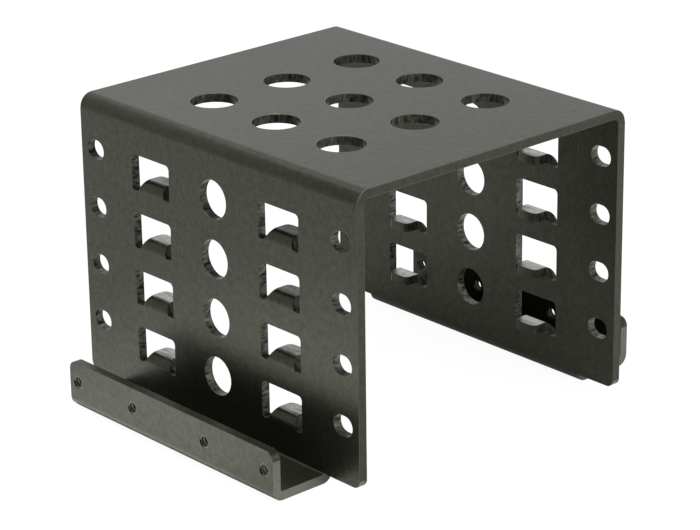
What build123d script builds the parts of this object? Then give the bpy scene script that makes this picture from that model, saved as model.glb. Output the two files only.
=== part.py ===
from build123d import *
import math
import os

# Drive mounting frame: one folded steel blank that holds four small drives
# between two side walls and is screwed into a larger drive bay by two rails.
# Millimetres. X runs across the frame, Y along the drives with the open front
# at -Y, Z is up. The origin lies under the middle of the frame, in the plane
# that the two rail floors rest on.

# Sheet and its bends
sheet = 2.0
roof_bend_radius = 1.0
rail_bend_radius = 0.5
tab_bend_radius = 0.4
bend_neutral_share = 0.42

# Drives that the frame holds
drive_width = 69.85
drive_side_gap = 0.35
drive_hole_spacing = 76.6
drive_hole_height = 3.0
drive_to_tab_gap = 0.2
row_count = 4
row_pitch = 12.8

# Side walls
lowest_slot_height = 14.4
top_slot_to_roof = 11.2
slot_to_wall_end = 4.7
slot_length = 5.5
slot_width = 4.3
wall_corner_radius = 1.8
side_hole_diameter = 8.3
side_hole_drop = 1.3

# Windows, which the drive rest tabs are lanced out of
window_from_middle = 20.0
window_width = 12.1
window_above_slot = 2.2
window_corner_radius = 1.0
relief_width = 1.8
relief_below_bend = 0.15

# Drive rest tabs
tab_width = 5.9
tab_tip_gap = 2.9
tab_nose_crown = 0.2
tab_corner_radius = 1.2

# Roof
roof_hole_diameter = 10.0
roof_hole_pitch_across = 20.0
roof_hole_pitch_along = 19.7
roof_holes_across = 3
roof_holes_along = 3

# Rails that fit the larger drive bay
bay_width = 101.6
lip_height = 10.8
lip_hole_height = 6.35
lip_hole_spacing = 60.0
lip_hole_pair_spacing = 41.6
lip_hole_diameter = 2.8
lip_hole_to_end = 2.7
lip_corner_radius = 2.0

# Sizes that follow from these
wall_inside = drive_width / 2 + drive_side_gap
wall_outside = wall_inside + sheet
frame_depth = drive_hole_spacing + 2 * slot_to_wall_end
frame_height = lowest_slot_height + (row_count - 1) * row_pitch + top_slot_to_roof
wall_top = frame_height - sheet - roof_bend_radius
rail_length = lip_hole_spacing + 2 * lip_hole_to_end
rail_bend_top = sheet + rail_bend_radius
tab_foot_width = window_width - 2 * relief_width
tab_foot_below_slot = drive_hole_height + drive_to_tab_gap + sheet + tab_bend_radius
slot_heights = [lowest_slot_height + row * row_pitch for row in range(row_count)]

# Each side is drawn on the right, at +X, and the left one is its mirror image.
# Side views are drawn on YZ, and sections across the frame on XZ.


def sheet_bend(start, centre_side, radius):
    """Quarter ring of sheet in a section: its centre, from the bend's inside."""
    outer = Circle(radius + sheet)
    inner = Circle(radius)
    reach = radius + sheet
    quarter = Pos(centre_side[0] * reach / 2, centre_side[1] * reach / 2) * Rectangle(reach, reach)
    return Pos(*start) * ((outer - inner) & quarter)


def along_drives(face, length):
    """A section across the frame, drawn out over a length about mid-depth."""
    return extrude(Plane.XZ * face, amount=length / 2, both=True)


def window_outline(middle, slot_height):
    """Window with two rounded upper corners and a relief beside each end of the tab's foot."""
    foot = slot_height - tab_foot_below_slot
    height = window_above_slot + tab_foot_below_slot
    outline = Pos(middle, foot + height / 2) * Rectangle(window_width, height)
    outline = fillet(outline.vertices().sort_by(Axis.Y)[-2:], window_corner_radius)
    relief_length = relief_width + relief_below_bend
    relief_middle = foot - relief_below_bend + relief_length / 2
    for side in (-1, 1):
        relief_place = middle + side * (window_width - relief_width) / 2
        outline += Pos(relief_place, relief_middle) * SlotOverall(relief_length, relief_width, 90)
    return outline


def side_wall():
    """Flat of the right wall, between its bend to the roof and its bend to the rail."""
    height = wall_top - sheet
    outline = Pos(0, sheet + height / 2) * Rectangle(frame_depth, height)
    outline = fillet(outline.vertices().sort_by(Axis.Y)[:2], wall_corner_radius)
    outline -= Pos(0, sheet + rail_bend_radius / 2) * Rectangle(rail_length, rail_bend_radius)
    for slot_height in slot_heights:
        outline -= Pos(0, slot_height - side_hole_drop) * Circle(side_hole_diameter / 2)
        for side in (-1, 1):
            slot_place = side * drive_hole_spacing / 2
            outline -= Pos(slot_place, slot_height) * SlotOverall(slot_length, slot_width)
            outline -= window_outline(side * window_from_middle, slot_height)
    return extrude(Plane.YZ.offset(wall_inside) * outline, amount=sheet)


def rest_tab(middle, slot_height):
    """Tab bent inwards at the foot of its window, narrower past the bend, with a rounded nose."""
    foot = slot_height - tab_foot_below_slot
    centre = wall_inside - tab_bend_radius
    top = foot + tab_bend_radius + sheet
    blank_length = window_above_slot + tab_foot_below_slot - tab_tip_gap
    neutral_radius = tab_bend_radius + bend_neutral_share * sheet
    flat_length = blank_length - neutral_radius * math.pi / 2
    section = sheet_bend((centre, foot), (1, 1), tab_bend_radius)
    section += Pos(centre - flat_length / 2, top - sheet / 2) * Rectangle(flat_length, sheet)
    bar = along_drives(section, tab_foot_width)
    wide = tab_foot_width / 2
    narrow = tab_width / 2
    tip = centre - flat_length
    side_view = make_face(
        Polyline(
            (-wide, foot), (wide, foot), (narrow, top), (narrow, frame_height),
            (-narrow, frame_height), (-narrow, top), close=True,
        )
    )
    taper = extrude(Plane.YZ.offset(tip) * side_view, amount=wall_outside - tip)
    shoulder = tip + tab_nose_crown
    plan = make_face(
        Polyline(
            (shoulder, -narrow), (centre, -narrow), (wall_inside, -wide), (wall_outside, -wide),
            (wall_outside, wide), (wall_inside, wide), (centre, narrow), (shoulder, narrow),
        )
        + ThreePointArc((shoulder, narrow), (tip, 0), (shoulder, -narrow))
    )
    plan = fillet(plan.vertices().sort_by(Axis.X)[:2], tab_corner_radius)
    return Pos(0, middle, 0) * (bar & taper & extrude(plan, amount=frame_height))


def roof():
    """Top panel with its two bends, down to where the side walls start."""
    centre = wall_outside - sheet - roof_bend_radius
    section = Pos(0, frame_height - sheet / 2) * Rectangle(2 * centre, sheet)
    for side in (-1, 1):
        section += sheet_bend((side * centre, wall_top), (side, 1), roof_bend_radius)
    panel = along_drives(section, frame_depth)
    drill = Pos(0, 0, frame_height) * Cylinder(roof_hole_diameter / 2, 4 * sheet)
    for place in GridLocations(
        roof_hole_pitch_across, roof_hole_pitch_along, roof_holes_across, roof_holes_along
    ):
        panel -= place * drill
    return panel


def lip_hole_places():
    """Two outer holes, and two inner ones each a pair spacing from the outer one opposite."""
    outer = lip_hole_spacing / 2
    inner = lip_hole_pair_spacing - outer
    return (-outer, -inner, inner, outer)


def rail():
    """Channel under the right wall: bend, floor, bend, and upright lip with tapped holes."""
    lip_outside = bay_width / 2
    wall_bend_centre = wall_outside + rail_bend_radius
    lip_bend_centre = lip_outside - sheet - rail_bend_radius
    floor_length = lip_bend_centre - wall_bend_centre
    section = sheet_bend((wall_bend_centre, rail_bend_top), (-1, -1), rail_bend_radius)
    section += sheet_bend((lip_bend_centre, rail_bend_top), (1, -1), rail_bend_radius)
    section += Pos(wall_bend_centre + floor_length / 2, sheet / 2) * Rectangle(floor_length, sheet)
    channel = along_drives(section, rail_length)
    lip_flat = lip_height - rail_bend_top
    outline = Pos(0, rail_bend_top + lip_flat / 2) * Rectangle(rail_length, lip_flat)
    outline = fillet(outline.vertices().sort_by(Axis.Y)[-2:], lip_corner_radius)
    for place in lip_hole_places():
        outline -= Pos(place, lip_hole_height) * Circle(lip_hole_diameter / 2)
    lip = extrude(Plane.YZ.offset(lip_outside - sheet) * outline, amount=sheet)
    return channel + lip


def tab_name(side_name, side, row):
    end_name = "front" if side < 0 else "rear"
    return f"{side_name}_{end_name}_rest_tab_{row_count - row}"


def write(name, shape):
    export_step(shape, os.path.join("parts", name + ".step"))


def write_pair(right_shape, right_name, left_name):
    write(right_name, right_shape)
    write(left_name, mirror(right_shape, about=Plane.YZ))


os.makedirs("parts", exist_ok=True)
write("top_panel", roof())
write_pair(side_wall(), "right_side_wall", "left_side_wall")
write_pair(rail(), "right_mounting_rail", "left_mounting_rail")
for row, slot_height in enumerate(slot_heights):
    for side in (-1, 1):
        tab = rest_tab(side * window_from_middle, slot_height)
        write_pair(tab, tab_name("right", side, row), tab_name("left", side, row))
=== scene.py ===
import math

import bmesh
import bpy
from mathutils import Matrix, Vector


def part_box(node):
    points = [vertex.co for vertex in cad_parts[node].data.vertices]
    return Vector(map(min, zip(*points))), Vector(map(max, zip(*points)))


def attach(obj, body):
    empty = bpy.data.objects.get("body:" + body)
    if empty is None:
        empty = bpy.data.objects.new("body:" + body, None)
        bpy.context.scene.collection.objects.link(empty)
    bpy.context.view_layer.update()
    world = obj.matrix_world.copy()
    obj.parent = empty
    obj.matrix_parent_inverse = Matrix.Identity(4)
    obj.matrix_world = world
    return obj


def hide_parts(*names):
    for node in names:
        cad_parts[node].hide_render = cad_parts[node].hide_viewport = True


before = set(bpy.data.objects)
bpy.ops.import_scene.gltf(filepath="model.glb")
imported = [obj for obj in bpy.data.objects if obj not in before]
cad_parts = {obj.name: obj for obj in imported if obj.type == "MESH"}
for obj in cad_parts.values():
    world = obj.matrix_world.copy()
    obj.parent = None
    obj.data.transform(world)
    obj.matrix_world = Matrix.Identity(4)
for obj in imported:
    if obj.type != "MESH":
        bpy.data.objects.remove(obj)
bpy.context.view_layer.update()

MM = 0.001

# Sizes repeated from the part, in metres
SHEET = 2.0 * MM
RAIL_BEND_TOP = 2.5 * MM
LIP_HOLE_RADIUS = 1.4 * MM
LIP_HOLE_HEIGHT = 6.35 * MM
LIP_HOLE_PLACES = [-30.0 * MM, -11.6 * MM, 11.6 * MM, 30.0 * MM]

# Camera, from the photograph's perspective
CAMERA_PLACE = (-0.37640, -0.41801, 0.24355)
CAMERA_LOOK = (0.6243, 0.6941, -0.3585)
CAMERA_ROLL = math.radians(-0.74)
FOCAL_PIXELS = 2848.8
PHOTO_WIDTH = 700
SENSOR_WIDTH = 36.0

# Edges of the coated sheet
EDGE_ROUND = 0.16 * MM
EDGE_SEGMENTS = 2
SHARP_EDGE = math.radians(32)
FLAT_JOIN = math.radians(0.4)
SAME_POINT = 0.002 * MM

SIDES = {"left": -1, "right": 1}
WALLS = [side + "_side_wall" for side in SIDES]
RAILS = [side + "_mounting_rail" for side in SIDES]
TABS = sorted(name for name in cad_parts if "_rest_tab_" in name)

WALL_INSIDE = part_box("right_side_wall")[0].x
WALL_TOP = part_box("left_side_wall")[1].z
SEAM_HEIGHTS = sorted({WALL_TOP, RAIL_BEND_TOP} | {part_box(tab)[0].z for tab in TABS})


def is_seam(face):
    """True for a face inside the folded sheet, where two of its named regions meet."""
    height = face.calc_center_median().z
    level = min(abs(height - seam) for seam in SEAM_HEIGHTS) < SAME_POINT
    return abs(face.normal.z) > 0.999 and level


def is_outer_end(node, face):
    """True for a sheared face at the front or rear end of the node."""
    ends = [corner.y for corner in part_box(node)]
    centre = face.calc_center_median()
    return min(abs(centre.y - end) for end in ends) < SAME_POINT and abs(face.normal.y) > 0.9


def is_punched(node, face):
    """True for a face inside an opening or at a side of a tab."""
    normal = face.normal
    if node in RAILS or is_outer_end(node, face):
        return False
    if node in WALLS:
        return abs(normal.x) < 0.7
    if node in TABS:
        return abs(normal.y) > 0.6
    return abs(normal.z) < 0.3 and abs(face.calc_center_median().x) < WALL_INSIDE - SHEET


def round_free_edges(bm):
    """Rounds every sharp edge of the sheet, apart from the seams between its regions."""
    bm.faces.ensure_lookup_table()
    seams = {face for face in bm.faces if is_seam(face)}
    sharp = [
        edge for edge in bm.edges
        if edge.is_manifold
        and edge.calc_face_angle() > SHARP_EDGE
        and not seams.intersection(edge.link_faces)
    ]
    made = bmesh.ops.bevel(
        bm, geom=sharp, offset=EDGE_ROUND, offset_type="OFFSET", segments=EDGE_SEGMENTS,
        profile=0.5, affect="EDGES", clamp_overlap=True,
    )
    return set(made["faces"])


def continuous_normals(mesh):
    """Corner normals weighted by area, and kept level at the seams so the fold reads as one sheet."""
    seam_face = [
        abs(face.normal.z) > 0.999
        and min(abs(face.center.z - seam) for seam in SEAM_HEIGHTS) < SAME_POINT
        for face in mesh.polygons
    ]
    sums = [Vector() for _ in mesh.vertices]
    for face in mesh.polygons:
        if not seam_face[face.index]:
            for vertex in face.vertices:
                sums[vertex] += face.normal * face.area
    normals = []
    for face in mesh.polygons:
        for vertex in face.vertices:
            if seam_face[face.index]:
                normals.append(face.normal.copy())
                continue
            normal = sums[vertex].copy()
            height = mesh.vertices[vertex].co.z
            if min(abs(height - seam) for seam in SEAM_HEIGHTS) < SAME_POINT:
                normal.z = 0
            normals.append(normal.normalized() if normal.length > 0 else face.normal.copy())
    mesh.normals_split_custom_set(normals)


def finished_piece(node):
    """A CAD region of the sheet with its free edges rounded and its cut faces marked."""
    bm = bmesh.new()
    bm.from_mesh(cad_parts[node].data)
    bmesh.ops.remove_doubles(bm, verts=bm.verts, dist=SAME_POINT)
    bmesh.ops.dissolve_limit(
        bm, angle_limit=FLAT_JOIN, use_dissolve_boundaries=False, verts=bm.verts, edges=bm.edges
    )
    cut_layer = bm.faces.layers.float.new("punched_face")
    end_layer = bm.faces.layers.float.new("sheared_end")
    edge_layer = bm.faces.layers.float.new("rounded_edge")
    for face in bm.faces:
        face[cut_layer] = float(is_punched(node, face))
        face[end_layer] = float(node in RAILS and is_outer_end(node, face))
    for face in round_free_edges(bm):
        face[edge_layer] = 1.0
    for face in bm.faces:
        face.smooth = True
    mesh = bpy.data.meshes.new(node + "_finished")
    bm.to_mesh(mesh)
    bm.free()
    continuous_normals(mesh)
    piece = bpy.data.objects.new(node + "_finished", mesh)
    bpy.context.collection.objects.link(piece)
    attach(piece, "root")
    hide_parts(node)
    return piece


# Screw thread cut into each lip hole
THREAD_PITCH = 0.794 * MM
THREAD_CREST_RADIUS = 1.14 * MM
THREAD_ROOT_RADIUS = LIP_HOLE_RADIUS + 0.02 * MM
THREAD_HALF_BASE = 0.36 * MM
THREAD_CREST_HALF = 0.06 * MM
THREAD_STEPS = 40
FACE_MARGIN = 0.12 * MM


def thread_ridge(side, number, place):
    """Helical ridge that stands inward from the wall of one lip hole."""
    low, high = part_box(side + "_mounting_rail")
    outside = low.x if side == "left" else high.x
    outward = SIDES[side]
    turns = SHEET / THREAD_PITCH + 1
    count = int(turns * THREAD_STEPS)
    section = [
        (-THREAD_HALF_BASE, THREAD_ROOT_RADIUS),
        (-THREAD_CREST_HALF, THREAD_CREST_RADIUS),
        (THREAD_CREST_HALF, THREAD_CREST_RADIUS),
        (THREAD_HALF_BASE, THREAD_ROOT_RADIUS),
    ]
    deepest = SHEET - FACE_MARGIN
    bm = bmesh.new()
    rings = []
    for step in range(count + 1):
        angle = 2 * math.pi * step / THREAD_STEPS
        depth = (step / THREAD_STEPS - 0.5) * THREAD_PITCH
        ring = []
        for shift, radius in section:
            at = min(max(depth + shift, FACE_MARGIN), deepest)
            point = Vector((
                outside - outward * at,
                place + radius * math.cos(angle),
                LIP_HOLE_HEIGHT + radius * math.sin(angle) * outward,
            ))
            ring.append(bm.verts.new(point))
        rings.append(ring)
    for before, after in zip(rings, rings[1:]):
        for corner in range(len(section)):
            following = (corner + 1) % len(section)
            bm.faces.new((before[corner], after[corner], after[following], before[following]))
    bm.faces.new(rings[0])
    bm.faces.new(reversed(rings[-1]))
    bmesh.ops.recalc_face_normals(bm, faces=bm.faces)
    mesh = bpy.data.meshes.new("thread")
    bm.to_mesh(mesh)
    bm.free()
    ridge = bpy.data.objects.new(f"{side}_lip_thread_{number}", mesh)
    bpy.context.collection.objects.link(ridge)
    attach(ridge, "root")
    return ridge


def node(tree, kind, **settings):
    made = tree.nodes.new(kind)
    for name, value in settings.items():
        setattr(made, name, value)
    return made


def join(tree, source, output, target, socket):
    tree.links.new(source.outputs[output], target.inputs[socket])


def mix_colors(tree, factor, first, second):
    """Colour mix; factor, first and second are each a (node, output) pair or a plain value."""
    made = node(tree, "ShaderNodeMix", data_type="RGBA")
    for socket, value in ((0, factor), (6, first), (7, second)):
        if isinstance(value, tuple) and isinstance(value[0], bpy.types.Node):
            tree.links.new(value[0].outputs[value[1]], made.inputs[socket])
        else:
            made.inputs[socket].default_value = value
    return made


def map_range(tree, source, old, new):
    """Maps a (node, output) pair's value from one (low, high) range to another."""
    made = node(tree, "ShaderNodeMapRange")
    made.inputs["From Min"].default_value, made.inputs["From Max"].default_value = old
    made.inputs["To Min"].default_value, made.inputs["To Max"].default_value = new
    tree.links.new(source[0].outputs[source[1]], made.inputs["Value"])
    return made


def seen_rays(tree, camera_share, mirrored_share):
    """Share of a background's own white: one for camera rays, one for rays that metal or glass sends on."""
    path = node(tree, "ShaderNodeLightPath")
    sent_on = node(tree, "ShaderNodeMath", operation="MAXIMUM")
    join(tree, path, "Is Glossy Ray", sent_on, 0)
    join(tree, path, "Is Transmission Ray", sent_on, 1)
    mirrored = node(tree, "ShaderNodeMath", operation="MULTIPLY")
    join(tree, sent_on, 0, mirrored, 0)
    mirrored.inputs[1].default_value = mirrored_share
    direct = node(tree, "ShaderNodeMath", operation="MULTIPLY")
    join(tree, path, "Is Camera Ray", direct, 0)
    direct.inputs[1].default_value = camera_share
    share = node(tree, "ShaderNodeMath", operation="MAXIMUM")
    join(tree, direct, 0, share, 0)
    join(tree, mirrored, 0, share, 1)
    return share


COAT_COLOR = (0.005, 0.005, 0.004, 1)
COAT_LIGHT = (0.009, 0.009, 0.007, 1)
COAT_SHEEN = (0.98, 1.0, 0.68, 1)
# Tint and IOR for the tops of the rest tabs: streaky rubbed wear, and also a painted sheen, since the much
# stronger reflection on the up-facing tops stands in for the bright light they catch from high behind
WORN_AND_SHEEN_TINT = (0.98, 1.0, 0.95, 1)
COAT_IOR = 1.5
WORN_AND_SHEEN_IOR = 10.0
EDGE_COLOR = (0.055, 0.055, 0.047, 1)
TORN_COLOR = (0.064, 0.063, 0.055, 1)
# The tab and roof cut-face colours are darker copies of the wall's: painted shade, where these faces sit in
# the shade of the holes and windows and reflect the dark inside of the frame
TORN_TAB_SHADE_COLOR = (0.026, 0.025, 0.022, 1)
TORN_ROOF_SHADE_COLOR = (0.036, 0.035, 0.031, 1)
END_COLOR = (0.055, 0.055, 0.046, 1)
GRAIN_PER_METRE = 1700
MOTTLE_PER_METRE = 90
CLOUD_PER_METRE = 700
STREAK_PER_METRE = 1500
STREAK_ALONG_BEND = 0.12
RIB_PER_METRE = 1500
RIB_ALONG_SHEET = 0.40


def coat_material(name, through, sheen, torn_sheen, torn_color_and_shade, top_ior=COAT_IOR):
    """Satin black powder coat; through is the axis across the sheet, which the shear ribs follow. The
    cut-face colour given for the tabs and the roof is darkened as painted shade.
    """
    material = bpy.data.materials.new(name)
    material.use_nodes = True
    tree = material.node_tree
    tree.nodes.clear()
    out = node(tree, "ShaderNodeOutputMaterial")
    shader = node(tree, "ShaderNodeBsdfPrincipled")
    shader.inputs["Specular Tint"].default_value = COAT_SHEEN
    join(tree, shader, 0, out, 0)
    place = node(tree, "ShaderNodeTexCoord")

    grain = node(tree, "ShaderNodeTexNoise")
    grain.inputs["Scale"].default_value = GRAIN_PER_METRE
    grain.inputs["Detail"].default_value = 3
    join(tree, place, "Object", grain, "Vector")
    mottle = node(tree, "ShaderNodeTexNoise")
    mottle.inputs["Scale"].default_value = MOTTLE_PER_METRE
    mottle.inputs["Detail"].default_value = 5
    join(tree, place, "Object", mottle, "Vector")

    stretch = node(tree, "ShaderNodeMapping")
    scale = [1.0, 1.0, 1.0]
    scale["XYZ".index(through)] = RIB_ALONG_SHEET
    stretch.inputs["Scale"].default_value = scale
    join(tree, place, "Object", stretch, "Vector")
    ribs = node(tree, "ShaderNodeTexNoise")
    ribs.inputs["Scale"].default_value = RIB_PER_METRE
    ribs.inputs["Detail"].default_value = 2
    join(tree, stretch, "Vector", ribs, "Vector")

    cut = node(tree, "ShaderNodeAttribute", attribute_name="punched_face")
    end = node(tree, "ShaderNodeAttribute", attribute_name="sheared_end")
    edge = node(tree, "ShaderNodeAttribute", attribute_name="rounded_edge")

    flat = mix_colors(tree, (mottle, "Fac"), COAT_COLOR, COAT_LIGHT)
    contrast = map_range(tree, (ribs, "Fac"), (0.34, 0.70), (0.0, 1.0))
    # Cut-face tone: the sheared faces' own colour, darkened as painted shade for the tabs and the roof
    cut_tone_and_shade = mix_colors(tree, (contrast, 0), COAT_COLOR, torn_color_and_shade)
    with_end = mix_colors(tree, (end, "Fac"), (flat, 2), END_COLOR)
    with_cut = mix_colors(tree, (cut, "Fac"), (with_end, 2), (cut_tone_and_shade, 2))
    worn = node(tree, "ShaderNodeMath", operation="MULTIPLY")
    join(tree, edge, "Fac", worn, 0)
    join(tree, mottle, "Fac", worn, 1)
    with_edge = mix_colors(tree, (worn, 0), (with_cut, 2), EDGE_COLOR)
    join(tree, with_edge, 2, shader, "Base Color")

    gloss = map_range(tree, (grain, "Fac"), (0.0, 1.0), (0.24, 0.36))
    join(tree, gloss, 0, shader, "Roughness")
    cloud = node(tree, "ShaderNodeTexNoise")
    cloud.inputs["Scale"].default_value = CLOUD_PER_METRE
    cloud.inputs["Detail"].default_value = 4
    join(tree, place, "Object", cloud, "Vector")
    both = node(tree, "ShaderNodeMath", operation="ADD")
    join(tree, grain, "Fac", both, 0)
    join(tree, cloud, "Fac", both, 1)
    speckle = map_range(tree, (both, 0), (0.7, 1.3), (0.74 * sheen, 1.26 * sheen))
    torn = map_range(tree, (ribs, "Fac"), (0.30, 0.70), (0.06, torn_sheen))
    level = node(tree, "ShaderNodeMix", data_type="FLOAT")
    join(tree, cut, "Fac", level, 0)
    join(tree, speckle, 0, level, 2)
    join(tree, torn, 0, level, 3)
    join(tree, level, 0, shader, "Specular IOR Level")

    # Up-facing tab tops reflect far more strongly, in streaks: partly rubbed wear, partly a painted sheen
    # standing in for light from high behind
    if top_ior != COAT_IOR:
        facing = node(tree, "ShaderNodeNewGeometry")
        split = node(tree, "ShaderNodeSeparateXYZ")
        join(tree, facing, "True Normal", split, 0)
        top = map_range(tree, (split, "Z"), (0.94, 0.995), (0.0, 1.0))
        along = node(tree, "ShaderNodeMapping")
        along.inputs["Scale"].default_value = (1.0, STREAK_ALONG_BEND, 1.0)
        join(tree, place, "Object", along, "Vector")
        streak = node(tree, "ShaderNodeTexNoise")
        streak.inputs["Scale"].default_value = STREAK_PER_METRE
        streak.inputs["Detail"].default_value = 2
        join(tree, along, "Vector", streak, "Vector")
        scraped = map_range(tree, (streak, "Fac"), (0.36, 0.56), (0.15, 1.0))
        rubbed_and_sheen = node(tree, "ShaderNodeMath", operation="MULTIPLY")
        join(tree, top, 0, rubbed_and_sheen, 0)
        join(tree, scraped, 0, rubbed_and_sheen, 1)
        # IOR raised on the tab tops: painted sheen mixed with the streaky wear
        ior = map_range(tree, (rubbed_and_sheen, 0), (0.0, 1.0), (COAT_IOR, top_ior))
        join(tree, ior, 0, shader, "IOR")
        tint = mix_colors(tree, (top, 0), COAT_SHEEN, WORN_AND_SHEEN_TINT)
        join(tree, tint, 2, shader, "Specular Tint")

    grain_bump = node(tree, "ShaderNodeBump")
    grain_bump.inputs["Strength"].default_value = 0.6
    grain_bump.inputs["Distance"].default_value = 0.05 * MM
    join(tree, grain, "Fac", grain_bump, "Height")
    rib_height = node(tree, "ShaderNodeMath", operation="MULTIPLY")
    join(tree, ribs, "Fac", rib_height, 0)
    join(tree, cut, "Fac", rib_height, 1)
    rib_bump = node(tree, "ShaderNodeBump")
    rib_bump.inputs["Strength"].default_value = 0.5
    rib_bump.inputs["Distance"].default_value = 0.12 * MM
    join(tree, rib_height, 0, rib_bump, "Height")
    join(tree, grain_bump, 0, rib_bump, "Normal")
    join(tree, rib_bump, 0, shader, "Normal")
    return material


def thread_material():
    """Freshly cut steel of the thread crests, darkened by coat that ran in."""
    material = bpy.data.materials.new("cut_thread")
    material.use_nodes = True
    tree = material.node_tree
    shader = tree.nodes["Principled BSDF"]
    shader.inputs["Metallic"].default_value = 0.9
    place = node(tree, "ShaderNodeTexCoord")
    wear = node(tree, "ShaderNodeTexNoise")
    wear.inputs["Scale"].default_value = 1500
    join(tree, place, "Object", wear, "Vector")
    tone = mix_colors(tree, (wear, "Fac"), (0.01, 0.01, 0.009, 1), (0.13, 0.13, 0.12, 1))
    join(tree, tone, 2, shader, "Base Color")
    gloss = map_range(tree, (wear, "Fac"), (0.0, 1.0), (0.25, 0.45))
    join(tree, gloss, 0, shader, "Roughness")
    return material


WORLD_LIGHT = 0.85


def build_world():
    world = bpy.data.worlds.new("studio")
    bpy.context.scene.world = world
    world.use_nodes = True
    tree = world.node_tree
    tree.nodes.clear()
    out = node(tree, "ShaderNodeOutputWorld")
    seen = node(tree, "ShaderNodeBackground")
    seen.inputs["Color"].default_value = (1, 1, 1, 1)
    seen.inputs["Strength"].default_value = 1.0
    light = node(tree, "ShaderNodeBackground")
    light.inputs["Color"].default_value = (1, 1, 1, 1)
    light.inputs["Strength"].default_value = WORLD_LIGHT
    mix = node(tree, "ShaderNodeMixShader")
    join(tree, seen_rays(tree, 1.0, 1.0), 0, mix, 0)
    join(tree, light, 0, mix, 1)
    join(tree, seen, 0, mix, 2)
    join(tree, mix, 0, out, 0)


FLOOR_SIZE = 3.0
FLOOR_COLOR = (0.92, 0.92, 0.92, 1)
FLOOR_GLOW = 0.92
FLOOR_MIRRORED_GLOW = 0.10


def build_floor():
    """Pale floor that lets the object's soft shadow show faintly on white."""
    bpy.ops.mesh.primitive_plane_add(size=FLOOR_SIZE, location=(0, 0, -0.05 * MM))
    floor = bpy.context.object
    floor.name = "studio_floor"
    material = bpy.data.materials.new("pale_floor")
    material.use_nodes = True
    tree = material.node_tree
    shader = tree.nodes["Principled BSDF"]
    shader.inputs["Base Color"].default_value = FLOOR_COLOR
    shader.inputs["Roughness"].default_value = 0.9
    glow = node(tree, "ShaderNodeEmission")
    glow.inputs["Strength"].default_value = 1.03
    mix = node(tree, "ShaderNodeMixShader")
    join(tree, seen_rays(tree, FLOOR_GLOW, FLOOR_MIRRORED_GLOW), 0, mix, 0)
    join(tree, shader, 0, mix, 1)
    join(tree, glow, 0, mix, 2)
    join(tree, mix, 0, tree.nodes["Material Output"], 0)
    floor.data.materials.append(material)


def softbox(name, place, size, watts, target=(0, 0, 0.03)):
    light = bpy.data.lights.new(name, "AREA")
    light.shape = "RECTANGLE"
    light.size, light.size_y = size
    light.energy = watts
    lamp = bpy.data.objects.new(name, light)
    lamp.location = place
    lamp.rotation_euler = (Vector(target) - Vector(place)).to_track_quat("-Z", "Y").to_euler()
    bpy.context.collection.objects.link(lamp)


def floor_pool(name, place, radius, blend, watts):
    """Spot from above that lights the floor round the object more than farther out."""
    light = bpy.data.lights.new(name, "SPOT")
    light.energy = watts
    light.spot_size = 2 * math.atan(radius / place[2])
    light.spot_blend = blend
    light.shadow_soft_size = 0.03
    lamp = bpy.data.objects.new(name, light)
    lamp.location = place
    bpy.context.collection.objects.link(lamp)


def build_camera():
    data = bpy.data.cameras.new("photo_view")
    data.sensor_width = SENSOR_WIDTH
    data.lens = FOCAL_PIXELS * SENSOR_WIDTH / PHOTO_WIDTH
    camera = bpy.data.objects.new("photo_view", data)
    camera.location = CAMERA_PLACE
    turn = Vector(CAMERA_LOOK).to_track_quat("-Z", "Y").to_matrix().to_4x4()
    camera.rotation_mode = "QUATERNION"
    camera.rotation_quaternion = (turn @ Matrix.Rotation(CAMERA_ROLL, 4, "Z")).to_quaternion()
    bpy.context.collection.objects.link(camera)
    bpy.context.scene.camera = camera


def build_object():
    wall_coat = coat_material("wall_coat", "X", 0.29, 0.55, TORN_COLOR)
    # Roof and tab coats get darker cut-face colours as painted shade; the tab coat also gets a painted
    # sheen on its tops
    roof_coat = coat_material("roof_coat", "Z", 0.24, 0.16, TORN_ROOF_SHADE_COLOR)
    tab_coat = coat_material("tab_coat", "Z", 0.31, 0.18, TORN_TAB_SHADE_COLOR, top_ior=WORN_AND_SHEEN_IOR)
    for name in ["top_panel"] + WALLS + RAILS + TABS:
        piece = finished_piece(name)
        coat = {"top_panel": roof_coat}.get(name, tab_coat if name in TABS else wall_coat)
        piece.data.materials.append(coat)
    steel = thread_material()
    for side in SIDES:
        for number, place in enumerate(LIP_HOLE_PLACES, 1):
            thread_ridge(side, number, place).data.materials.append(steel)


build_camera()
build_object()
build_world()
build_floor()
softbox("overhead", (0.1, 0.15, 0.9), (0.9, 0.9), 6)
softbox("front", (0.1, -0.6, 0.3), (0.4, 0.4), 3.9, (0, 0, 0))
floor_pool("pool", (-0.053, 0.010, 1.2), 0.059, 0.7, 110)
bpy.context.scene.view_settings.view_transform = "Standard"
